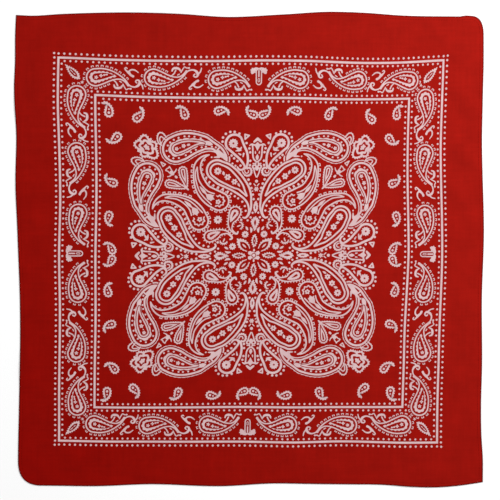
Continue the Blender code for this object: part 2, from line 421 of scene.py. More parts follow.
def stroke_edge(rows, inset=0.0):
    """The closed edge of a stroke along the rows of x, y and half width: up its left side to the head, round
    the head, down its right side and round the tail. The inset takes from the half width, down to nothing."""
    rows = np.asarray(rows, float)
    line = through(rows, max(4, int(lengths(rows)[-1] / STROKE_STEP) + 2))
    middle, half = line[:, :2], np.clip(line[:, 2] - inset, 0, None)[:, None]
    way = np.gradient(middle, axis=0)
    way /= np.linalg.norm(way, axis=1)[:, None]
    side = np.stack([-way[:, 1], way[:, 0]], axis=1)
    caps = []
    for end, begin in ((0, 90), (-1, 270)):
        count = max(3, int(math.pi * line[end, 2] / STROKE_STEP))
        turn = np.radians(begin + np.linspace(0, 180, count + 2)[1:-1, None])
        caps.append(middle[end] + half[end] * (np.cos(turn) * way[end] + np.sin(turn) * side[end]))
    return np.vstack([(middle + half * side)[::-1], caps[0], middle - half * side, caps[1]])


def filled(rows):
    """A solid stroke."""
    return between(stroke_edge(rows), stroke_edge(rows, PAST_ANY_HALF))


def ring(rows, start, end):
    """The part of a stroke between two insets from its edge."""
    return between(stroke_edge(rows, start), stroke_edge(rows, end))


def outward(edge_line):
    """The outward side of a closed anticlockwise line at each of its points."""
    way = np.roll(edge_line, -1, axis=0) - np.roll(edge_line, 1, axis=0)
    way /= np.maximum(np.linalg.norm(way, axis=1), TINY)[:, None]
    return np.stack([way[:, 1], -way[:, 0]], axis=1)


def evenly(line, count, first=0.0, last=1.0):
    """A closed line's points and outward sides at even steps from the first to the last share of its
    length. All the way round, the last step leads back to the first."""
    rows = closed(np.column_stack([line, outward(line)]))
    at = lengths(rows)[-1] * np.linspace(first, last, count, endpoint=last - first < 1)
    points, sides = np.split(sampled(rows, at), 2, axis=1)
    return points, sides / np.maximum(np.linalg.norm(sides, axis=1), TINY)[:, None]


def swell(share, pointed):
    """The height of lobes along a line, 0 to 1, where share counts lobes: a saw's teeth, or |sin|."""
    return 1 - np.abs(2 * (share % 1) - 1) if pointed else np.abs(np.sin(np.pi * share))


def lobe_count(line, share, pitch, pointed):
    """How many lobes of about the given pitch fit along a share of a closed line, and the steps they take."""
    lobes = max(3, round(lengths(closed(line))[-1] * share / pitch))
    return lobes, lobes * (4 if pointed else 6)


def lobed(line, out, width, pitch, height, first=0.0, last=1.0, pointed=False):
    """A band along a closed line: its inner side is even and its outer side swells in lobes or teeth."""
    lobes, steps = lobe_count(line, last - first, pitch, pointed)
    whole = last - first == 1
    points, sides = evenly(line, steps + (not whole), first, last)
    wave = swell(np.arange(len(points)) / steps * lobes, pointed)
    outer = points + (out + height * wave)[:, None] * sides
    return between(outer, points + (out - width) * sides, closing=whole)


def banded(outer, inner, pitch, height, pointed=True):
    """The band from an outer line with teeth or lobes to an inner line of any length."""
    lobes, steps = lobe_count(outer, 1, pitch, pointed)
    outer, inner = (evenly(line, steps)[0] for line in (outer, inner))
    wave = swell(np.arange(steps) / steps * lobes, pointed)
    return between(outer + height * wave[:, None] * outward(outer), inner)


# The small marks that stand on a line: their points, the middle of the foot at 0, and the faces between them
STAPLE = (
    ((-1.6, 0), (-1.6, 2.2), (1.6, 2.2), (1.6, 0), (-0.75, 0), (-0.75, 1.3), (0.75, 1.3), (0.75, 0)),
    ((0, 1, 5, 4), (1, 2, 6, 5), (2, 3, 7, 6)),
)
TICK = (((-0.55, 0), (-0.4, 1.7), (0.4, 1.7), (0.55, 0)), ((0, 1, 2, 3),))


def marks(line, gap, count, first, last, mark=STAPLE, scale=1.0):
    """One small mark after another along a closed line, from the first to the last share of its length,
    standing off it by the gap."""
    points, sides = evenly(line, count, first, last)
    along = np.stack([-sides[:, 1], sides[:, 0]], axis=1)
    shape, faces = np.array(mark[0]) * scale, np.array(mark[1])
    across, out = shape[None, :, :1], gap + shape[None, :, 1:]
    placed = points[:, None] + along[:, None] * across + sides[:, None] * out
    step = (np.arange(len(points)) * len(shape))[:, None, None]
    return placed.reshape(-1, 2), (faces[None] + step).reshape(-1, 4)


def dots(centres, radius, sides=10):
    """Round dots: each is two rows of points across a disc, so that it's a few plain faces."""
    centres = np.asarray(centres, float).reshape(-1, 2)
    turn = 2 * np.pi * (np.arange(sides) + 0.5) / sides
    rim = radius * np.stack([np.cos(turn), np.sin(turn)], axis=1)
    placed = (centres[:, None] + rim[None]).reshape(-1, 2)
    half = sides // 2
    row = np.arange(half - 1)
    strip = np.stack([row, row + 1, sides - 2 - row, sides - 1 - row], axis=1)
    step = (np.arange(len(centres)) * sides)[:, None, None]
    return placed, (strip[None] + step).reshape(-1, 4)


def round_line(centre, radius, petals=0, depth=0.0, turn=0.0, steps=None):
    """A closed line round a centre: r = radius (1 + depth cos(petals (angle - turn)))."""
    count = steps or max(12, 8 * petals)
    angle = 2 * np.pi * np.arange(count) / count
    reach = radius * (1 + depth * np.cos(petals * (angle - math.radians(turn))))
    return np.asarray(centre) + reach[:, None] * np.stack([np.cos(angle), np.sin(angle)], axis=1)


def rosette(centre, radius, petals, depth, core, turn=0.0):
    """A small flower: its rim is scalloped, and a pinprick of ground is left in its middle."""
    rim = round_line(centre, radius / (1 + depth), petals, depth, turn)
    middle = round_line(centre, core, steps=len(rim))
    return between(rim, middle)


def path(half, *points):
    """Rows of a stroke through the points. Its half width is one number, or runs evenly between two."""
    ends = half if isinstance(half, tuple) else (half, half)
    return np.column_stack([points, np.linspace(*ends, len(points))])


def drawn(half, *points):
    """A solid stroke through the points, as path tells."""
    return filled(path(half, *points))


def bent(half, *points):
    """A stroke of straight pieces from point to point."""
    return joined([drawn(half, *piece) for piece in zip(points, points[1:])])


def areas(points, faces):
    """The signed area of each flat face."""
    corners = points[:, :2][faces]
    ahead = np.roll(corners, -1, axis=1)
    return (corners[..., 0] * ahead[..., 1] - corners[..., 1] * ahead[..., 0]).sum(1) / 2


def joined(strokes, apart=None):
    """Several strokes as one. A stroke without a level yet is turned face up and loses the faces that lie
    folded over in its tightest bends. Each stroke or group goes above all of the one before it, or just that
    many levels above it if apart is given, so that no two that cross lie in one plane."""
    points, faces, count, level = [], [], 0, 0.0
    for xy, quads in strokes:
        if xy.shape[1] == 2:
            quads = quads if areas(xy, quads).sum() > 0 else quads[:, ::-1]
            quads = quads[areas(xy, quads) > SLIVER_AREA]
            xy = np.column_stack([xy, np.zeros(len(xy))])
        xy = xy + np.array([0, 0, level])
        level = xy[:, 2].max() + 1 if apart is None else level + apart
        points.append(xy)
        faces.append(quads + count)
        count += len(xy)
    return np.vstack(points), np.vstack(faces)


def copied(stroke, turns=(0, 1, 2, 3), mirrored=True):
    """A motif turned by quarter turns about the print's middle, and mirrored as well. Only a copy and its
    mirror image can meet, so these lie half a level apart."""
    points, faces = stroke
    out = []
    for flip in (1, -1) if mirrored else (1,):
        for quarter in turns:
            cos, sin = round(math.cos(quarter * math.pi / 2)), round(math.sin(quarter * math.pi / 2))
            x, y = points[:, 0] * flip, points[:, 1]
            turned = np.column_stack([cos * x - sin * y, sin * x + cos * y, points[:, 2] + (1 - flip) / 4])
            out.append((turned, faces[:, ::flip]))
    return joined(out, apart=0)


def moved(stroke, to, turn=0.0, scale=1.0, flip=1):
    """A motif turned, scaled and moved to its place. A flip of -1 mirrors it left to right first."""
    points, faces = stroke
    cos, sin = math.cos(math.radians(turn)), math.sin(math.radians(turn))
    x, y = points[:, 0] * flip * scale, points[:, 1] * scale
    placed = np.column_stack([to[0] + cos * x - sin * y, to[1] + sin * x + cos * y, points[:, 2:]])
    return placed, faces[:, ::flip]


# ---- the print's frame and border

FRAME_OUTER = 222.9
FRAME_INNER = 181.6
FRAME_LINE = 2.4
FRAME_STEP = 3

# The rows of dots beside the frame lines. Columns: distance of the row from the middle of the print, dots on
# each side of the row's middle, place of the last of them and of the corner's own dot, and the dots' radius,
# in mm. 0 is no corner dot
FRAME_DOTS = (
    (FRAME_OUTER + 4.6, 36, 222.9, 227.9, 1.3),
    (FRAME_OUTER - 3.7, 35, 216, 0, 1.22),
    (FRAME_INNER + 4, 29, 179, 185.6, 1.22),
    (FRAME_INNER - 4, 28, 172.7, 0, 1.25),
)


def frame_lines():
    """Two square frames, each a line with mitred corners, cut into short steps along each side."""
    strokes = []
    for reach in (FRAME_OUTER, FRAME_INNER):
        share = np.linspace(-1, 1, 2 * int(reach / FRAME_STEP))
        side = np.column_stack([share, np.ones_like(share)])
        outer, inner = (reach + FRAME_LINE / 2) * side, (reach - FRAME_LINE / 2) * side
        line = joined([between(outer, inner, closing=False)])
        strokes += [copied(line, turns=(quarter,), mirrored=False) for quarter in range(4)]
    return strokes


def frame_dots():
    """A row of dots on each side of each frame line, spaced evenly from the middle of the side."""
    strokes = []
    for line, count, last, corner_dot, radius in FRAME_DOTS:
        along = np.linspace(-last, last, 2 * count)
        rows = [dots(np.column_stack([along, np.full(2 * count, line)]), radius)]
        if corner_dot:
            rows.append(dots([(corner_dot, corner_dot)], radius))
        strokes.append(copied(joined(rows), mirrored=False))
    return strokes


# Columns: x, y and half width along the middle of a border paisley, from its head, in mm
BORDER_PAISLEY = (
    (0, 0, 10.7), (8.2, 1.9, 9.4), (16.2, 2.6, 6.8), (22.8, 1.9, 4.2), (28.1, 0.2, 2.4), (31.8, -2.2, 1.7),
    (35.9, -7.1, 1.3),
)
BORDER_LINE = 1.6
BORDER_BAND = 4.7  # how far in from the outline's outer edge the lobed band starts
BORDER_DROP = ((0.3, 0.5, 4), (8, 2, 3.5), (14, 2.9, 2.2), (19.8, 3.2, 0.3))


def border_paisley(flourish):
    """A border paisley with its head at the origin and its tail to the right: an outline, a lobed band, three
    small flowers, staples round it, and an anchor-shaped leaf and a scroll in its hollow side."""
    outer, band = stroke_edge(BORDER_PAISLEY), stroke_edge(BORDER_PAISLEY[:4], BORDER_BAND)
    strokes = [
        ring(BORDER_PAISLEY, 0, BORDER_LINE),
        banded(band, stroke_edge(BORDER_DROP), 4.4, 1.1, pointed=False),
        rosette((0.6, 0), 2.3, 5, 0.28, 0.3),
        rosette((5.9, 2.2), 2.2, 4, 0.3, 0.3),
        filled([(9.3, 3, 1.1), (10.7, 3.3, 0.4), (12.3, 3.6, 1)]),
        marks(outer, 1.15, 12, 0.05, 0.515, scale=0.95),
        marks(outer, 1.15, 6, 0.57, 0.762, scale=0.92),
        drawn((0.6, 0.8), (18.8, -1.9), (22.2, -4.6), (24.4, -8.6)),
        filled([
            (20.4, -8, 0.8), (21.4, -10.6, 1.1), (24.9, -11.3, 1.4), (28.4, -10.2, 1.1), (29.5, -8.2, 0.8),
        ]),
        drawn(0.6, (26.5, -3.4), (28.5, -4.6)),
        drawn(0.65, (30.2, -6.6), (32.1, -10.2), (34.2, -12.8), (36.3, -11.5), (38.2, -11.7)),
        dots([(38.9, -11.6)], 1.1),
        dots([(36.1, -7.5)], 1.6, 12),
    ]
    if flourish:
        strokes += [
            filled([
                (35.8, -6.8, 0.7), (39.8, -9, 0.8), (43.7, -9.4, 0.9), (47.5, -7.2, 1.4), (48.9, -4.1, 1.4),
            ]),
            filled([
                (48.9, -4.6, 1.4), (48, -2, 1), (45.5, -1.5, 0.8), (44.1, -3.2, 0.8), (45.5, -4.7, 0.7),
            ]),
            drawn((0.9, 0.6), (49, -4.6), (51.6, -7.6), (52.6, -11.5)),
        ]
    return joined(strokes)


def border_hook():
    """The loose forked scroll that fills the corner beside a border paisley's tail."""
    return joined([
        filled([(34.5, 11.5, 0.6), (33, 12.6, 0.8), (31.9, 11.2, 0.8), (33.5, 9, 0.8), (36.3, 6.7, 1.6)]),
        filled([(36.3, 7, 1.6), (38.9, 3.9, 1.2), (41.3, 2.7, 1.4)]),
        filled([(36.3, 7.8, 0.9), (38.7, 9.9, 0.9), (42.6, 10, 0.8), (47, 7.1, 0.5)]),
    ])


# Columns: the distance out along both x and y, and the half width, in mm
CORNER_LEAF = ((213.4, 0.6), (210.6, 2.2), (206.6, 3.5), (202.6, 3.2), (200.4, 1.2))
CORNER_LEAF_EYE = ((211.4, 0.3), (208.8, 1.8), (205.6, 2.2), (203.4, 1.8), (201.8, 0.4))
CORNER_STAR = (-196.1, 195.7)


def on_diagonal(rows):
    """The rows of a stroke that lies along the diagonal to the upper left."""
    return [(-out, out, half) for out, half in rows]


def corner_leaf():
    """The leaf on the diagonal in each corner: serrated, with a pointed eye and a broken vein, and a star."""
    return joined([
        banded(*(stroke_edge(on_diagonal(rows)) for rows in (CORNER_LEAF, CORNER_LEAF_EYE)), 2.7, 1.1),
        drawn((0.5, 1.2), (-215, 215), (-211.6, 211.6)),
        drawn(0.45, (-209.3, 209.3), (-206.8, 206.8)),
        drawn(0.45, (-205.6, 205.6), (-204.1, 204.1)),
        rosette(CORNER_STAR, 2, 5, 0.45, 0.01, 15),
    ])


def side_post():
    """The post in the middle of each side: a round-ended column under two clouds."""
    column = ((0, 210.5, 3.6), (0, 205, 3.6), (0, 199, 3.5))
    clouds = []
    for side in (-1, 1):
        clouds += [
            rosette((side * 6.4, 211.6), 3.5, 7, 0.14, 0.01, 10),
            filled([(side * 6.9, 210.6, 1.9), (side * 7.6, 209, 1.3)]),
            filled([(0, 213.5, 0.6), (side * 2.2, 214.2, 1), (side * 4.6, 213.6, 1.4)]),
        ]
    return joined(clouds + [
        ring(column, 0, 1.3),
        drawn(0.8, (0, 211.6), (0, 205.2)),
        ring([(0, 202.4, 1.2), (0, 199.9, 1.2)], 0, 0.7),
    ])


# The places of a side's three paisleys, from the corner to the middle, and how far the loose scroll beside
# the second one stands further along
BORDER_HEADS = ((-181.6, 201.9), (-117.7, 203.4), (-47.2, 202.2))
SECOND_HOOK_ON = 7.9


def border():
    """All four sides: eight half sides, and the corner leaves and posts. A side's second paisley is upside
    down."""
    first, second, third = BORDER_HEADS
    half = joined([
        moved(border_paisley(True), first),
        moved(border_hook(), first),
        moved(border_paisley(True), second, turn=180, flip=-1),
        moved(border_hook(), (second[0] + SECOND_HOOK_ON, second[1]), turn=180, flip=-1),
        moved(border_paisley(False), third),
    ])
    return [copied(half), copied(corner_leaf(), mirrored=False), copied(side_post(), mirrored=False)]


# ---- the scattered paisleys

SCATTER_PAISLEY = (
    (0, 0, 4.7), (0.1, 3.9, 4.2), (-0.6, 7.4, 2.9), (-2, 10.2, 1.3), (-4, 11.4, 0.9), (-6.7, 10.6, 0.7),
)
SCATTER_EYE = ((0, 0, 3), (0.1, 3.4, 2.5), (-0.5, 6.4, 1.3), (-1, 8.4, 0.2))


def scatter_paisley():
    """A small paisley: a serrated band round a drop of ground that holds two dots."""
    return joined([
        banded(stroke_edge(SCATTER_PAISLEY), stroke_edge(SCATTER_EYE), 2.9, 1.1),
        dots([(0, 0.1)], 1.5),
        dots([(0.1, 4)], 1),
    ])


# Columns: the head's x and y, turn in degrees, scale and flip; the first is mirrored into four corners, the
# rest are turned and mirrored eight times
SCATTER_CORNER = (-166.7, 162.2, 0, 1, 1)
SCATTER_EIGHTHS = (
    (-135.9, 157.6, -50, 1, 1),
    (-82.3, 162.3, 18, 0.97, 1),
    (-45.4, 167, -75, 0.96, -1),
    (-4.9, 162.6, 68, 0.92, -1),
)


def scatter():
    """The ring of small paisleys between the frame and the medallion."""
    small = scatter_paisley()
    eighths, corner_one = [
        joined([moved(small, row[:2], *row[2:]) for row in rows])
        for rows in (SCATTER_EIGHTHS, (SCATTER_CORNER,))
    ]
    corners = joined([corner_one, moved(corner_one, (0, 0), flip=-1)])
    return [copied(eighths), copied(corners, turns=(0, 2), mirrored=False)]


# ---- the medallion

# Columns: x, y and half width along the middle of each, from its head to the tip of its tail, in mm
BIG_PAISLEY = (
    (-92.7, 123.9, 15.4), (-87.2, 126.3, 15.6), (-81.2, 128.7, 14.8), (-75.3, 130.2, 13.3),
    (-64.7, 131.2, 9.9), (-59.5, 131, 8.2), (-54.4, 129.5, 6.1), (-49.4, 127.6, 4.6), (-43.2, 122.8, 4.6),
    (-39.4, 118.6, 3.9), (-36.5, 114.9, 2.7), (-34.4, 110.9, 0.7),
)
BIG_BAND = (
    (-92.4, 123.9, 7.6), (-84.4, 127.2, 7.9), (-77.6, 129.4, 6.5), (-70.9, 131.1, 4.5), (-64.7, 132, 2.8),
    (-59.6, 131.5, 1.9), (-54.4, 130.6, 1.3), (-51.4, 130, 0.6),
)
BIG_RING = (
    (-90.8, 124.6, 6), (-84.4, 127.1, 5.9), (-77.6, 129.3, 4.7), (-70.9, 130.8, 2.9), (-64.7, 131.3, 1.5),
    (-60.3, 130.9, 0.7),
)
BIG_HAIRLINE_END = 0.81  # the share of the outline's length at which its hairline turns into the hook
BIG_DOTS = (
    (-102.8, 121.8), (-100.3, 115.6), (-95.2, 113.5), (-88.9, 114), (-81.1, 117.2), (-75.2, 120.7),
    (-69.8, 123.4), (-63.2, 126.2), (-58.5, 127.1), (-51.8, 127), (-47.3, 126.3), (-101.5, 127.9),
    (-98.9, 131.4), (-94.7, 134.4), (-89.4, 136.7), (-82.7, 138.4), (-77.6, 138.5), (-71.5, 138.1),
    (-64.5, 136.4),
)
CRESCENT = (
    (-41.5, 64.2, 11.3), (-51.3, 69.5, 10.8), (-59.8, 76.6, 8.9), (-65, 86.8, 7.1), (-67.5, 97, 5.4),
    (-67.4, 106.3, 4.3), (-63.5, 113, 2.8), (-58.8, 116.5, 1.7), (-54.6, 117.9, 0.7),
)
TEAR = (
    (-45.6, 100.4, 12.5), (-38.7, 96.3, 13.9), (-30.3, 91, 12.9), (-21.5, 83.9, 10.6), (-14, 75.8, 8),
    (-10, 69.3, 5.7), (-7.8, 63.1, 3.6), (-6.6, 56.6, 2.5), (-7.2, 50.9, 1.6), (-9.3, 46.3, 1.3),
    (-12, 44.3, 1.1), (-14.2, 45.1, 0.9),
)
TEAR_INNER = (
    (-45, 99.8, 9), (-37.2, 95.2, 9.8), (-29.7, 89.7, 8.4), (-23.2, 84.6, 6.7), (-18.8, 81.2, 4.8),
    (-14.5, 75.3, 2.7), (-11, 70.4, 1.3),
)
TEAR_DOTS = (
    (-57.3, 91.7), (-53.6, 86.7), (-49, 82.8), (-43.5, 80.6), (-38.1, 78.7), (-32.5, 75.5), (-28.7, 73),
    (-24.4, 69.9), (-20.5, 67.4), (-15.6, 63.4), (-12.5, 58.3), (-11.3, 52.7), (-8.7, 41.5), (-5.3, 44.9),
    (-3.3, 50.3),
)
EDGE_PAISLEY = (
    (-26.5, 131, 10.9), (-21.3, 123.8, 8.7), (-17.3, 118.3, 7.3), (-14.7, 112.9, 5.5), (-13.3, 107.9, 3.8),
    (-13.1, 104.1, 2.3), (-15.2, 101.4, 1.4), (-18.5, 100.3, 1.1), (-21.1, 101.7, 1), (-22.4, 103.8, 0.8),
)
EDGE_DOTS = (
    (-39.9, 132.7), (-39.4, 137.3), (-36.3, 141.5), (-31.3, 143.6), (-26.4, 143.6), (-21, 141.6),
    (-12.7, 130.9), (-9.3, 124.8), (-8.2, 120.3), (-7.9, 110.6), (-8.1, 105.6), (-29.3, 116.9),
    (-26.3, 113.8), (-22.5, 110.7), (-18.9, 105.3),
)
TICKED_PAISLEY = (
    (-23.3, 51.2, 7.4), (-25.2, 45.4, 6.4), (-27.9, 39.9, 4), (-28.2, 35.2, 3), (-27.5, 31.4, 2),
    (-24.9, 28.4, 1.4), (-22.3, 26.3, 1.2), (-20.2, 25.9, 1.1), (-19.4, 28.1, 0.9),
)
TICKED_DROP = ((-23.6, 50.3, 3.9), (-25.5, 47, 3.3), (-26.9, 43.7, 2.2), (-28, 40.8, 0.8))
SCROLL = (
    (-16.5, 98.6, 0.6), (-14.8, 95.8, 0.75), (-11.2, 93.8, 0.9), (-7.4, 95.2, 0.95), (-6.4, 99, 0.95),
    (-7.7, 101.8, 0.9), (-9.8, 102.5, 0.9), (-11.4, 101.4, 0.7),
)
COMMA = (
    (-17.8, 39.5, 0.6), (-16.3, 39.1, 0.7), (-14.9, 37.4, 0.9), (-14.4, 35, 0.9), (-15.3, 32.5, 0.8),
    (-16.8, 31.6, 0.6),
)
SPRAY_DROP = ((-84.2, 99.4, 4.6), (-83, 93.4, 4.2), (-81.2, 87.4, 2.7), (-79.8, 80.6, 0.9))

# Columns: x and y. The bud's outer line
BUD_ARC = (
    (-108.7, 128.1), (-111.5, 130), (-113.1, 134.4), (-112.9, 139), (-110.9, 142), (-107.6, 141.8),
    (-105, 139.3), (-102.9, 137.2),
)
HEAD_FLOWER = (-43.2, 63.6)  # the flower in the crescent's head, and the middle of the line round it
HEAD_RIM = (-42.6, 64.6)


def big_paisley():
    """The medallion's outer paisley: a scalloped hairline that hooks back below, a thick line, dots, a lobed
    band and a ring round two small flowers. Its tail is solid."""
    return joined([
        lobed(stroke_edge(BIG_PAISLEY), 2.05, 0.6, 5, 0.45, 0.03, BIG_HAIRLINE_END),
        drawn(0.8, (-31.8, 115.4), (-31.4, 112.6), (-31.7, 110)),
        drawn(
            0.6, (-66.6, 118.2), (-64.5, 119.6), (-59.4, 121.3), (-54.3, 122.1), (-49.1, 121.3),
            (-46.8, 120.2), (-45.4, 118), (-44.8, 115.7),
        ),
        filled([(-49, 115.1, 0.5), (-47, 115.2, 0.9), (-43, 115.2, 1)]),
        filled([(-44.4, 119.6, 1.1), (-43, 117.6, 1.8), (-41.2, 116.2, 1.4)]),
        ring(BIG_PAISLEY, 0, 2.3),
        drawn(0.9, (-43.4, 125.9), (-45.8, 123)),
        filled([
            (-45.2, 123, 1.1), (-43.8, 121.7, 1.4), (-41.8, 119.8, 1.5), (-39.5, 117.9, 1.8),
            (-38.1, 116.3, 2.2), (-36.5, 114.8, 2.6), (-34.4, 110.9, 0.7),
        ]),
        dots(BIG_DOTS, 1.15),
        banded(stroke_edge(BIG_BAND), stroke_edge(BIG_RING, -1), 8.5, 1.1, pointed=False),
        ring(BIG_RING, 0, 1.7),
        rosette((-91.5, 124.3), 2.4, 5, 0.2, 0.3),
        rosette((-83.6, 127.7), 2.6, 5, 0.2, 0.3),
        drawn(1.2, (-78.8, 128.8), (-77.4, 129.2)),
        dots([(-87.7, 125.4)], 0.7),
    ])


def bud_loop():
    """The bud between the corner flower and the outer paisley: a ticked arc with a smaller loop inside it."""
    return joined([
        drawn(0.75, *BUD_ARC),
        marks(stroke_edge(path(0.6, *BUD_ARC)), -0.2, 8, 0.08, 0.42, TICK, 0.55),
        drawn(
            0.7, (-109.2, 129.5), (-110.4, 132.9), (-110.5, 136.3), (-109.1, 137.9), (-107, 136.5),
            (-104.5, 134.6),
        ),
    ])


def head_rim(radius):
    """A scalloped line round the head flower, open on the calyx's side, from -125 to 115 degrees."""
    step = 5  # degrees
    line = round_line(HEAD_RIM, radius / 1.1, 9, 0.1, steps=360 // step)
    return np.roll(line, 125 // step, axis=0)[: 240 // step + 1]


def crescent():
    """The curved paisley inside the outer one: an outline with staples, two inner lines, a leaf, a calyx and
    a scalloped flower at its head."""
    outer = stroke_edge(CRESCENT)
    return joined([
        ring(CRESCENT, 0, 1.8),
        marks(outer, -0.1, 6, 0.13, 0.293, scale=1.1),
        marks(outer, -0.1, 9, 0.447, 0.68, scale=1.1),
        marks(outer, -0.1, 8, 0.712, 0.945, scale=0.8),
        dots([(-51.8, 115.1)], 1),
        drawn(
            0.75, (-67.9, 103.7), (-69.7, 98.4), (-69.8, 92.2), (-68, 84.5), (-65, 76.4), (-59.8, 69.3),
            (-54.6, 64.1), (-51, 60.5),
        ),
        drawn(
            0.75, (-67.9, 103.7), (-67.4, 97.3), (-66, 89.5), (-62.4, 83.2), (-57.8, 78), (-53.3, 74.9),
            (-47.9, 73.2),
        ),
        filled([
            (-64.3, 81.2, 0.5), (-62.6, 79.1, 1.1), (-60, 76.1, 1.7), (-57.8, 73.6, 0.9), (-56.6, 72, 0.6),
        ]),
        filled([(-57, 72.4, 0.6), (-55.2, 71, 2.2), (-52.6, 69, 3.6), (-51.6, 68.2, 3)]),
        filled([(-48.4, 71.3, 0.5), (-51, 70.4, 1.3)]),
        filled([(-47.9, 66.8, 0.5), (-51.2, 67.8, 1.2)]),
        filled([(-51.4, 65, 0.5), (-52.8, 67, 1.2)]),
        between(head_rim(7.6), head_rim(5.6), closing=False),
        rosette(HEAD_FLOWER, 3.2, 5, 0.18, 0.75),
    ])


def tear():
    """The large drop: a thick outline whose tail hooks inwards, an inner line and a row of flowers."""
    return joined([
        dots(TEAR_DOTS, 1.3),
        ring(TEAR, 0, 2.25),
        ring(TEAR_INNER, 0, 2),
        rosette((-44.5, 99.3), 4.4, 9, 0.14, 1),
        rosette((-33.1, 92.3), 3.9, 6, 0.18, 0.8),
        rosette((-25.3, 86.8), 3.6, 6, 0.18, 0.8),
        filled([(-38.4, 98.8, 0.5), (-38, 96.8, 1.6), (-37.2, 94.8, 0.6)]),
        filled([(-21.4, 84.8, 0.5), (-20.6, 83.6, 1.2), (-19.2, 81.3, 0.5)]),
    ])


def edge_paisley():
    """The small paisley at the medallion's edge, crowned with dots."""
    return joined([
        ring(EDGE_PAISLEY, 0, 2.6),
        dots(EDGE_DOTS, 1.45),
        dots([(-28.1, 107.8), (-24.6, 105.2)], 1.2),
        rosette((-27.6, 130.7), 5.4, 11, 0.1, 1.1),
        filled([(-24.6, 126.6, 0.5), (-21, 123.9, 1.6)]),
        filled([(-18.3, 126.2, 0.6), (-19.6, 124, 1.2), (-20.6, 122.6, 0.9)]),
        filled([(-24.6, 122.2, 0.5), (-21, 122.7, 1.1), (-18.6, 122.9, 0.6)]),
        filled([(-21.3, 119.2, 0.6), (-19, 117.8, 0.9)]),
        filled([(-15.6, 118.9, 1.1), (-16.3, 115.4, 0.6)]),
        bent(0.85, (-14.7, 140.8), (-9.8, 139.4), (-14.4, 135.4), (-14.7, 140.8)),
    ])


def ticked_paisley():
    """The small paisley near the middle: a line with ticks round it and a drop with an eye."""
    return joined([
        ring(TICKED_PAISLEY, 0, 1.6),
        marks(stroke_edge(TICKED_PAISLEY), -0.2, 22, 0.12, 0.88, TICK),
        banded(stroke_edge(TICKED_DROP), stroke_edge(TICKED_DROP, 2.5), 2.6, 0.5),
    ])


def comma_scrolls():
    """The scrolls and leaves between the larger motifs."""
    return joined([
        filled(COMMA),
        marks(stroke_edge(COMMA), -0.2, 6, 0.04, 0.42, TICK, 0.7),
        filled([(-20.2, 34.6, 0.6), (-18.4, 35.1, 0.8), (-16.8, 35.8, 0.6)]),
        dots([(-16.1, 42.2)], 1.45),
        filled([(-5.2, 33, 0.5), (-3.9, 30.6, 1.4), (-4.2, 27.6, 0.8)]),
        filled([(-10.3, 33.8, 0.6), (-9.2, 32, 1.3), (-8.2, 30.4, 0.7)]),
        rosette((-10.9, 25), 4.2, 10, 0.13, 0.95),
        filled(SCROLL),
        lobed(stroke_edge(SCROLL), 0.1, 0.8, 2.6, 0.6, first=0.5, last=0.95),
        drawn(0.65, (-14, 99.3), (-13.3, 97.2), (-11.6, 96.4), (-9.7, 97.4), (-9.5, 99.4)),
        dots([(-9.3, 89), (-7.3, 84.1), (-5.7, 79.1)], 1.5),
        dots([(-3.7, 71.5), (-2.7, 66.2)], 1.4),
    ])


# The serrated lenses and the vase on an axis, and the eye in each. Columns: y and half width
LENS = ((24, 0.4), (21, 1.8), (17.4, 2.5), (13.6, 1.8), (10.6, 0.4))
LENS_EYE = ((21.6, 0.4), (19.5, 1.25), (17.4, 1.6), (15, 1.25), (13, 0.4))
VASE = ((44.6, 0.8), (42.8, 3), (40.3, 4.2), (36.6, 3), (33.2, 1.5), (30.2, 0.5))
VASE_EYE = ((41.9, 0.4), (38.6, 1.3), (35.2, 0.3))
UPPER_LENS = ((63.6, 0.5), (60.4, 2), (57, 2.5), (53.4, 1.9), (50.6, 0.5))
UPPER_LENS_EYE = ((58.1, 0.6), (55.1, 0.6))


def upright(rows):
    """The rows of a stroke that lies along the upper axis."""
    return [(0, *row) for row in rows]


def serrated(rows, eye, pitch, height):
    """A toothed shape on the upper axis with an eye in it."""
    return banded(stroke_edge(upright(rows)), stroke_edge(upright(eye)), pitch, height)


def tulip_half(side):
    """What the tulip and its stem have on each side: a crown, a curled lip that runs down round the cup, a
    drop, a loop below the crossing and the pointed ring's edge."""
    strokes = [
        filled([(4, 132.3, 1.1), (2.2, 133.8, 1.4), (0, 135.7, 1.5)]),
        filled([(9.2, 128, 0.5), (6.8, 129.4, 1.1), (4.2, 128.7, 1), (1.6, 128.6, 1)]),
        filled([
            (5.9, 128.8, 0.9), (5.4, 125, 0.85), (5.2, 119, 0.85), (4.6, 114.4, 0.85), (3.2, 111.6, 0.85),
            (0.6, 109.6, 0.8),
        ]),
        filled([(2.5, 121.4, 0.5), (2.2, 119.4, 0.85)]),
        filled([(0.8, 109.6, 0.6), (1.6, 107, 0.65), (1, 104.4, 0.7)]),
        filled([(2, 107.6, 0.6), (4.6, 107.4, 0.6)]),
        between(round_line((3.1, 103.8), 2.8, steps=16), round_line((2.9, 103.8), 1.1, steps=16)),
        filled([(3.6, 101.6, 1), (2.5, 96.8, 0.75), (0.5, 91.9, 0.75)]),
    ]
    return [(points * np.array([side, 1]), faces) for points, faces in strokes]


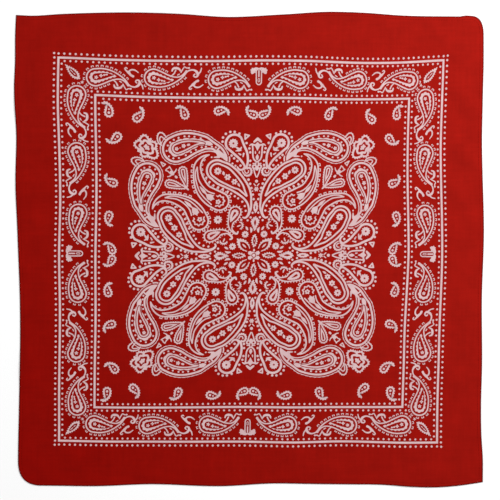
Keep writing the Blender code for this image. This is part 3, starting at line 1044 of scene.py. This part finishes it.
def axis_ornaments():
    """What stands on each of the four axes: the tulip and its stem, dots, a lens, a vase and a lens."""
    sides = []
    for side in (-1, 1):
        sides += tulip_half(side) + [
            drawn(0.6, (side * 2.9, 84), (side * 1, 81.8)),
            drawn(0.6, (side * 4.9, 75.2), (side * 3.9, 75.8)),
        ]
    return joined(sides + [
        filled(upright([(131.4, 0.6), (129.4, 2.4), (127.8, 3.1), (125.2, 1.6), (122.4, 0.4)])),
        filled(upright([(117.6, 0.5), (114.9, 1.9), (112.6, 1.2)])),
        filled(upright([(104.2, 0.8), (102.4, 1.6), (101.2, 2)])),
        dots([(0, 87)], 1.8, 12),
        rosette((0, 77.9), 3, 6, 0.25, 0.1),
        serrated(UPPER_LENS, UPPER_LENS_EYE, 3, 0.4),
        serrated(VASE, VASE_EYE, 2.6, 1.2),
        serrated(LENS, LENS_EYE, 2.5, 1.5),
        drawn(0.35, (0, 18.1), (0, 16.4)),
    ])


CORNER_FLOWER = (-125.4, 125.4)
FLOWER_TURN = -45


def drawn_out(line, by):
    """The corner flower's petal on the diagonal reaches further out and the two beside it less far: each
    point moves out by (cos 2a + 0.2 cos a) times the amount, with a from the diagonal."""
    away = line - CORNER_FLOWER
    angle = np.arctan2(away[:, 1], away[:, 0]) - math.radians(FLOWER_TURN)
    reach = by * (np.cos(2 * angle) + 0.2 * np.cos(angle))
    return line + reach[:, None] * away / np.hypot(*away.T)[:, None]


def corner_flower():
    """The five-petalled flower on each corner of the medallion: a toothed outline, an inner flower and a
    solid middle, joined between the petals."""
    rim = drawn_out(round_line(CORNER_FLOWER, 11.6, 5, 0.15, FLOWER_TURN, steps=150), 2.3)
    inner = drawn_out(round_line(CORNER_FLOWER, 7, 5, 0.12, FLOWER_TURN, steps=60), 1.2)
    core = drawn_out(round_line(CORNER_FLOWER, 2.9, 5, 0.18, FLOWER_TURN, steps=40), 0.7)
    spokes = []
    for petal in range(5):
        turn = math.radians(FLOWER_TURN + 36 + 72 * petal)
        way = np.array([math.cos(turn), math.sin(turn)])
        spokes.append(drawn(1.3, CORNER_FLOWER + 6.2 * way, CORNER_FLOWER + 10.4 * way))
    return joined(spokes + [
        lobed(rim, 0.3, 1.7, 2.7, 1.4, pointed=True),
        lobed(inner, 0.7, 2.2, 4.2, 0.4),
        between(core, round_line(CORNER_FLOWER, 0.01, steps=40)),
    ])


# One half of a leaf of the middle flower, from its split inner end to its tip, along its outside and inside
LEAF_OUTSIDE = ((-8.2, 4.4), (-13.2, 7), (-17, 10.4), (-18.8, 14.6), (-19.2, 19.2))
LEAF_INSIDE = ((-7.8, 5.2), (-12.4, 7.5), (-15.6, 11.2), (-16.6, 16.6))
LEAF_POINTS = 31
LEAF_TEETH = 13
LEAF_TOOTH = 1.6  # a tooth's height in mm
LEAF_TEETH_GROW = 1 / 6  # to their full height, over this share of the leaf's edge from each end


def middle_leaf():
    """A leaf of the middle flower: two arms that meet at a serrated tip, open towards the middle."""
    lines = []
    for rows in (LEAF_OUTSIDE, LEAF_INSIDE):
        line = through(rows, LEAF_POINTS)
        lines.append(np.vstack([line, -line[-2::-1, ::-1]]))
    outside, inside = lines
    share = np.linspace(0, 1, len(outside))
    grown = np.clip(np.minimum(share, 1 - share) / LEAF_TEETH_GROW, 0, 1)
    way = np.gradient(outside, axis=0)
    away = np.stack([-way[:, 1], way[:, 0]], axis=1) / np.hypot(*way.T)[:, None]
    teeth = LEAF_TOOTH * grown * swell(share * LEAF_TEETH, True)
    return between(outside + teeth[:, None] * away, inside, closing=False)


def diagonal_ornaments():
    """What stands on each of the four diagonals: the corner flower, a spray of drops, a star, a rosette and
    a leaf of the middle flower."""
    sprays = []
    for rows in (SPRAY_DROP, [(-y, -x, half) for x, y, half in SPRAY_DROP]):
        sprays += [lobed(stroke_edge(rows), 0.3, 1.2, 2.8, 0.7), ring(rows, 2.1, 3.6)]
    return joined(sprays + [
        corner_flower(),
        bent(0.65, (-109.3, 108.9), (-104, 106.4), (-106.8, 103.9), (-109.3, 108.9)),
        bent(
            0.65, (-103.8, 99.6), (-102.2, 101.6), (-100.6, 102.2), (-99.6, 104), (-98.2, 102),
            (-95.6, 97.6),
        ),
        bent(0.65, (-103.8, 99.6), (-101.2, 98.4), (-98.2, 95.8)),
        drawn(2.1, (-97.2, 97.2), (-95.9, 95.9)),
        drawn((0.9, 0.5), (-95, 96.6), (-92.6, 98.8), (-91.6, 101.3)),
        drawn((0.9, 0.5), (-96.6, 95), (-99, 92.8), (-101.6, 92.2)),
        drawn((1.2, 1.4), (-92.3, 92.7), (-91.3, 91.7)),
        drawn((1.6, 0.8), (-80.9, 80.9), (-77.6, 77.6)),
        rosette((-42.8, 42.7), 5, 10, 0.14, 1.1),
        middle_leaf(),
        filled([(-13.4, 13.4, 0.4), (-11.6, 11.6, 1), (-9.4, 9.4, 0.4)]),
    ])


def middle_flower():
    """The four-lobed flower in the middle: wider than it is tall, with a ring of ground round its eye."""
    lobes = [rosette((x, y), 2.4, 5, 0.1, 0.01) for x in (-4.6, 4.6) for y in (-2.9, 2.9)]
    return joined(lobes + [
        between(round_line((0, 0), 4.3, 4, 0.2, 35, steps=32), round_line((0, 0), 2.9, steps=32)),
        dots([(0, 0)], 1.9, 12),
        filled([(0, 7, 0.9), (0, 5.5, 1.1)]),
        filled([(0, -7, 0.9), (0, -5.5, 1.1)]),
    ])


# Where the cloth has pulled the print out of true. Columns: x and y in the print, and the shift to the right
# and up, in mm. The shift between them is the smoothest that keeps to every row
PRINT_PULLS_MM = (
    # the outer frame's top
    (-222.9, 222.9, -1.1, 3.4), (-170, 222.9, 2.5, 1.1), (-127.9, 222.9, 4.6, -0.1),
    (-57.9, 222.9, 9, -0.7), (0, 222.9, 10.6, 0), (57.9, 222.9, 12.2, -0.6), (127.9, 222.9, 9.2, -3),
    (175, 222.9, 6.8, -2.3), (222.9, 222.9, 3.5, 0.2),
    # its bottom
    (-222.9, -222.9, -0.4, 1.1), (-170, -222.9, -1.2, 0), (-127.9, -222.9, -2.7, -0.1),
    (-57.9, -222.9, -2.6, -0.2), (0, -222.9, -3, -0.2), (57.9, -222.9, -2.9, -1.1), (100, -222.9, -3, 0.1),
    (127.9, -222.9, -3.2, 0), (180, -222.9, -3.6, -1.4), (222.9, -222.9, -4.1, -1.1),
    # its left
    (-222.9, 170, -1.9, 1.2), (-222.9, 127.9, -0.4, -1.1), (-222.9, 57.9, 0.9, -2.5),
    (-222.9, 0, -0.4, -2.8), (-222.9, -57.9, 0.5, -2.8), (-222.9, -127.9, 0, -2.1),
    (-222.9, -170, -0.4, -0.8),
    # its right
    (222.9, 170, 1.5, -2.8), (222.9, 127.9, 0.2, -3.2), (222.9, 57.9, 1.3, -3.7), (222.9, 0, 1.9, -3.6),
    (222.9, -57.9, 0, -2.6), (222.9, -127.9, -2.3, -1.4), (222.9, -175, -3.6, -0.4),
    # the inner frame's top, bottom, left and right
    (-181.6, 181.6, 0.6, 0.9), (-90, 181.6, 5.9, -2.1), (0, 181.6, 10.1, -2.5), (90, 181.6, 9.9, -4),
    (181.6, 181.6, 4.6, -3.4), (-181.6, -181.6, -0.3, -1.2), (-90, -181.6, -1.8, -1.5),
    (0, -181.6, -2.3, -0.9), (90, -181.6, -2.6, -1.1), (181.6, -181.6, -3.3, -0.8), (-181.6, 90, 2, -1.8),
    (-181.6, 0, 0.8, -3.3), (-181.6, -90, 0.8, -2.6), (181.6, 90, 2.7, -3.5), (181.6, 0, 3.9, -3.9),
    (181.6, -90, -0.7, -2.3),
    # the medallion's corners, the ends of its axes and its inside
    (-125.4, 125.4, 4.5, -4), (125.4, 125.4, 6.8, -4), (-125.4, -125.4, -0.7, -3.5),
    (125.4, -125.4, 0.5, -3.2), (0, 145.7, 9.4, -4.1), (-145.7, 0, 2, -5.3), (145.7, 0, 4, -4.6),
    (0, -145.7, -0.4, -1.7), (-50, 100, 6.7, -5.9), (50, 100, 8.1, -4.5), (-100, 50, 4.2, -5.8),
    (100, 50, 5.8, -4.7), (-100, -50, 1.9, -5.4), (100, -50, 3, -4.3), (-50, -100, 0.6, -4),
    (50, -100, 1.7, -3.4), (0, 75, 7.3, -5.5), (-75, 0, 3.3, -6.4), (75, 0, 4.8, -5.1), (0, -75, 2.1, -3.9),
    (0, 0, 4.5, -5.1),
)
PRINT_MIDDLE_MM = (1.2, -1.6)
PULL_SCALE_MM = 100


def pull_basis(points, knots):
    """r^2 log r between every point and every knot: the thin plate's shape."""
    square = ((points[:, None] - knots[None]) ** 2).sum(2) / PULL_SCALE_MM**2
    return square * np.log(np.maximum(square, TINY**2))


def pulled(points):
    """Print points in mm moved as the cloth has pulled them: a thin plate through the rows of shifts."""
    rows = np.array(PRINT_PULLS_MM, float)
    knots = rows[:, :2]
    count = len(rows)
    system = np.zeros((count + 3, count + 3))
    system[:count, :count] = pull_basis(knots, knots)
    system[:count, count] = 1
    system[:count, count + 1 :] = knots
    system[count:, :count] = system[:count, count:].T
    weight = np.linalg.solve(system, np.vstack([rows[:, 2:], np.zeros((3, 2))]))
    shift = pull_basis(points, knots) @ weight[:count] + weight[count] + points @ weight[count + 1 :]
    return points + shift + np.array(PRINT_MIDDLE_MM)


def lay_print(name, strokes, level, material):
    """Strokes as one piece on the cloth, from the given level up. Corners that fall together are welded, and
    a face that has two of its corners in one place becomes a triangle."""
    points, faces = joined(strokes)
    rounded_off = np.round(points, WELD_DECIMALS)
    _, first, same = np.unique(rounded_off, axis=0, return_index=True, return_inverse=True)
    points, faces = points[first], same.reshape(-1)[faces]
    repeat = faces == np.roll(faces, -1, axis=1)
    squares = faces[~repeat.any(1)]
    slim, gone = faces[repeat.sum(1) == 1], repeat[repeat.sum(1) == 1]
    triangles = slim[~gone].reshape(-1, 3)
    flat = pulled(points[:, :2]) * MM
    height = CLOTH_REST + CLOTH_WALL + fold_lift(flat) + PRINT_LIFT + (level + points[:, 2]) * PRINT_LEVEL
    used = np.unique(np.concatenate([squares.ravel(), triangles.ravel()]))
    number = np.zeros(len(points), int)
    number[used] = np.arange(len(used))
    placed = np.column_stack([flat, height])[used]
    return new_piece(name, placed, [number[squares], number[triangles]], material, smooth=False)


# ---- materials


def node(tree, kind, inputs=(), **settings):
    """Adds a node with its settings. Each input is (name or number, value), where a value may also be another
    node's output, or a node for its first output."""
    made = tree.nodes.new(kind)
    for key, value in settings.items():
        setattr(made, key, value)
    for key, value in inputs:
        value = value.outputs[0] if isinstance(value, bpy.types.Node) else value
        if isinstance(value, bpy.types.NodeSocket):
            tree.links.new(value, made.inputs[key])
        else:
            made.inputs[key].default_value = value
    return made


TONE_WAY = (0.75, 0.56, 0.0)  # the way across the cloth in which its colour grows lighter, from the lower left to the upper right
TONE_REACH = 0.36  # how far from the middle along that way the colour is at its darkest and at its lightest, in m
CLOUD_SWAY = (0.16, -0.08)  # what a cloud's value is multiplied by, and then moved by, to sway the change of colour, in m
COTTON_FINISH = (0.95, 0.02)  # roughness and gloss

# Painted shade on the rolled edge, darkest at the edge itself, and a faint painted highlight about 3 mm in.
# Columns: distance from the edge as a share of 10 mm, and tone
EDGE_SHADE_TONES = ((0.0, 0.42), (0.08, 0.58), (0.20, 1.0), (0.30, 1.06), (0.40, 0.98), (0.55, 1.0), (1.0, 1.0))

# How many features of a noise lie in a metre: clouds 9 cm across that sway the colour's change, patches of
# painted crease shade 1 to 3 cm across, and blots in the print 1 to 2 cm across
CLOUD_SCALE = 11.0
CREASE_SHADE_SCALE = 42.0
BLOT_SCALE = 60.0

# Yarns lie 0.4 mm apart, too fine to show, so a streak is 2 to 3 mm wide and 45 mm long, as a bundle of
# thicker yarns is
STREAK_SCALES = ((330, 22, 1), (22, 330, 1))

# Where nearly all values of a noise lie, and of the sum of two
NOISE_RANGE = (0.3, 0.7)
YARN_RANGE = (0.7, 1.3)
YARN_BUMP = 0.12
YARN_HEIGHT = 0.6 * MM


def new_material(name, roughness, gloss):
    """A material with the given roughness and gloss, its node tree and its shader."""
    material = bpy.data.materials.new(name)
    material.use_nodes = True
    shader = material.node_tree.nodes["Principled BSDF"]
    shader.inputs["Roughness"].default_value = roughness
    shader.inputs["Specular IOR Level"].default_value = gloss
    return material, material.node_tree, shader


def shade(tree, colour, factor):
    """A colour made lighter or darker by a factor."""
    # here and below, a colour mix's inputs are 0, its share, and 6 and 7, its colours; output 2 is a colour
    inputs = [(0, 1.0), (6, colour), (7, factor)]
    return node(tree, "ShaderNodeMix", inputs, data_type="RGBA", blend_type="MULTIPLY").outputs[2]


def on_yarn(tree, where, colour, dim, light):
    """A colour on uneven yarn, between two tones, and the unevenness: short streaks along the warp and along
    the weft."""
    streaks = []
    for scale in STREAK_SCALES:
        stretched = node(tree, "ShaderNodeMapping", [("Vector", where), ("Scale", scale)])
        inputs = [("Vector", stretched), ("Scale", 1.0), ("Detail", 2.0), ("Roughness", 0.6)]
        streaks.append(node(tree, "ShaderNodeTexNoise", inputs))
    yarn = node(tree, "ShaderNodeMath", enumerate(streaks), operation="ADD")
    # here and below, a range's inputs are the value, the ends it comes from and the ends it goes to
    thick = node(tree, "ShaderNodeMapRange", enumerate((yarn, *YARN_RANGE, dim, light)))
    return shade(tree, colour, thick), yarn


def cotton_shader(name, dark_end, light_end, painted_edge_shade):
    """Plain-weave cotton: matt, with hardly any gloss, a bloom of loose fibre at a low angle, and yarns of
    uneven thickness. The colour runs from darker at the lower left to lighter at the upper right, unevenly,
    in soft clouds. Soft lighter and darker patches at random are painted shade that stands for small creases,
    and where asked, the rolled edge gets painted shade and a faint painted highlight just inside it."""
    material, tree, shader = new_material(name, *COTTON_FINISH)
    where = node(tree, "ShaderNodeTexCoord").outputs["Object"]
    across = node(tree, "ShaderNodeVectorMath", enumerate((where, TONE_WAY)), operation="DOT_PRODUCT")
    cloud = node(tree, "ShaderNodeTexNoise", [("Vector", where), ("Scale", CLOUD_SCALE), ("Detail", 3.0)])
    cloudy = node(tree, "ShaderNodeMath", enumerate((cloud, *CLOUD_SWAY)), operation="MULTIPLY_ADD")
    both = node(tree, "ShaderNodeMath", enumerate((across.outputs["Value"], cloudy)), operation="ADD")
    tone_share = node(tree, "ShaderNodeMapRange", enumerate((both, -TONE_REACH, TONE_REACH)))
    dye = node(tree, "ShaderNodeMix", [(0, tone_share), (6, srgb(dark_end)), (7, srgb(light_end))], data_type="RGBA")
    colour, yarn = on_yarn(tree, where, dye.outputs[2], 0.95, 1.05)
    # painted shade of small creases: soft lighter and darker patches, placed at random over the cloth
    inputs = [("Vector", where), ("Scale", CREASE_SHADE_SCALE), ("Detail", 4.0), ("Roughness", 0.6)]
    crease_shade_noise = node(tree, "ShaderNodeTexNoise", inputs)
    patches = node(tree, "ShaderNodeMapRange", enumerate((crease_shade_noise, *NOISE_RANGE, 0.92, 1.08)))
    colour = shade(tree, colour, patches)
    # painted shade darkens the rolled edge, and a faint painted highlight lies about 3 mm inside it
    if painted_edge_shade:
        inset = node(tree, "ShaderNodeAttribute", attribute_name="from_edge").outputs["Fac"]
        rolled = node(tree, "ShaderNodeValToRGB", [("Fac", inset)])
        steps = rolled.color_ramp.elements
        for place, _ in EDGE_SHADE_TONES[1:-1]:
            steps.new(place)
        for step, (place, tone) in zip(steps, EDGE_SHADE_TONES):
            step.position, step.color = place, (tone, tone, tone, 1)
        colour = shade(tree, colour, rolled)
    tree.links.new(colour, shader.inputs["Base Color"])
    inputs = [("Height", yarn), ("Strength", YARN_BUMP), ("Distance", YARN_HEIGHT)]
    tree.links.new(node(tree, "ShaderNodeBump", inputs).outputs[0], shader.inputs["Normal"])
    shader.inputs["Sheen Weight"].default_value = 0.12
    shader.inputs["Sheen Roughness"].default_value = 0.6
    shader.inputs["Sheen Tint"].default_value = srgb("#D8665A")
    return material


def undyed_print(name, light, dim):
    """The print: cotton that the dye was kept from, so it is as matt as the cloth and a little pink and
    uneven where dye has crept in."""
    material, tree, shader = new_material(name, *COTTON_FINISH)
    where = node(tree, "ShaderNodeTexCoord").outputs["Object"]
    cloud = node(tree, "ShaderNodeTexNoise", [("Vector", where), ("Scale", BLOT_SCALE), ("Detail", 3.0)])
    tone_share = node(tree, "ShaderNodeMapRange", enumerate((cloud, *NOISE_RANGE)))
    blotted = node(tree, "ShaderNodeMix", [(0, tone_share), (6, srgb(dim)), (7, srgb(light))], data_type="RGBA")
    colour, _ = on_yarn(tree, where, blotted.outputs[2], 0.94, 1.04)
    tree.links.new(colour, shader.inputs["Base Color"])
    return material


def plain(name, colour, roughness):
    """One colour all over, without gloss, as sewing thread or a paper floor has."""
    material, _, shader = new_material(name, roughness, 0.0)
    shader.inputs["Base Color"].default_value = srgb(colour)
    return material


# ---- the piece, the floor, the light, the camera

cotton = cotton_shader("red_dyed_plain_weave_cotton", "#880602", "#A0170F", True)
# the hem strips take the top cloth's cotton in darker colours: painted shade for lying under the rim
shaded_hem_cotton = cotton_shader("red_cotton_hem_painted_shade", "#7A0402", "#8E110A", False)
thread = plain("red_sewing_thread", "#8A1009", 0.8)
undyed = undyed_print("undyed_cotton_print", "#DCC0C1", "#D3AFB1")

cloth = make_cloth(cotton)
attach(cloth, "root")
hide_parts("panel")

for side in ("bottom", "right", "top", "left"):
    hem = make_hem(side, shaded_hem_cotton)
    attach(hem, "root")
    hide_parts("hem_" + side)

stitches = make_stitches(thread)
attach(stitches, "root")

PRINT_PARTS = {
    "print_frame_lines": frame_lines,
    "print_frame_dots": frame_dots,
    "print_border": border,
    "print_scatter": scatter,
    "print_outer_paisleys": lambda: [copied(big_paisley()), copied(bud_loop())],
    "print_crescents": lambda: [copied(crescent())],
    "print_drops": lambda: [copied(tear())],
    "print_edge_paisleys": lambda: [copied(edge_paisley())],
    "print_ticked_paisleys": lambda: [copied(ticked_paisley()), copied(comma_scrolls())],
    "print_axes": lambda: [copied(axis_ornaments(), mirrored=False)],
    "print_diagonals": lambda: [copied(diagonal_ornaments(), mirrored=False), middle_flower()],
}
PART_LEVEL = 0.25  # how much higher each part of the print lies than the one before, in a stroke's levels
for number, (name, draw) in enumerate(PRINT_PARTS.items()):
    part = lay_print(name, draw(), number * PART_LEVEL, undyed)
    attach(part, "root")

FLOOR_HALF = 3.0
FLOOR_GLOW = 0.09  # a lit sweep of paper, so that it stays white where the lamps fall off
floor_mesh = bpy.data.meshes.new("floor")
floor_corners = [(x * FLOOR_HALF, y * FLOOR_HALF, 0) for x, y in ((-1, -1), (1, -1), (1, 1), (-1, 1))]
floor_mesh.from_pydata(floor_corners, [], [(0, 1, 2, 3)])
floor = bpy.data.objects.new("floor", floor_mesh)
pale_floor = plain("pale_floor", "#FFFFFF", 0.9)
floor_shader = pale_floor.node_tree.nodes["Principled BSDF"]
floor_shader.inputs["Emission Color"].default_value = (1, 1, 1, 1)
floor_shader.inputs["Emission Strength"].default_value = FLOOR_GLOW
floor_mesh.materials.append(pale_floor)
bpy.context.scene.collection.objects.link(floor)

STUDIO_STRENGTH = 0.42
world = bpy.data.worlds.new("studio")
bpy.context.scene.world = world
world.use_nodes = True
background = world.node_tree.nodes["Background"]
background.inputs["Color"].default_value = (1, 1, 1, 1)
background.inputs["Strength"].default_value = STUDIO_STRENGTH

# Each lamp faces the middle of the cloth. Columns: place and size in m, watts
LIGHTS = {
    "key": ((0.75, 0.6, 1.0), 0.7, 12),
    "fill": ((-0.8, 0.0, 1.9), 1.8, 11),
}
for name, (place, size, watts) in LIGHTS.items():
    lamp = bpy.data.lights.new(name, "AREA")
    lamp.size = size
    lamp.energy = watts
    stand = bpy.data.objects.new(name, lamp)
    bpy.context.scene.collection.objects.link(stand)
    stand.location = place
    x, y, z = place
    stand.rotation_euler = (math.atan2(math.hypot(x, y), z), 0, math.atan2(y, x) + math.pi / 2)

CAMERA_HEIGHT = 3.0
VIEW_WIDTH = 0.585  # how much of the floor the picture takes in, in m
VIEW_CENTRE = (0.00123, -0.00047)
SENSOR_WIDTH = 36  # mm
lens = bpy.data.cameras.new("camera")
lens.sensor_width = SENSOR_WIDTH
lens.lens = SENSOR_WIDTH * CAMERA_HEIGHT / VIEW_WIDTH
camera = bpy.data.objects.new("camera", lens)
camera.location = (*VIEW_CENTRE, CAMERA_HEIGHT)
bpy.context.scene.collection.objects.link(camera)
bpy.context.scene.camera = camera
bpy.context.scene.view_settings.view_transform = "Standard"
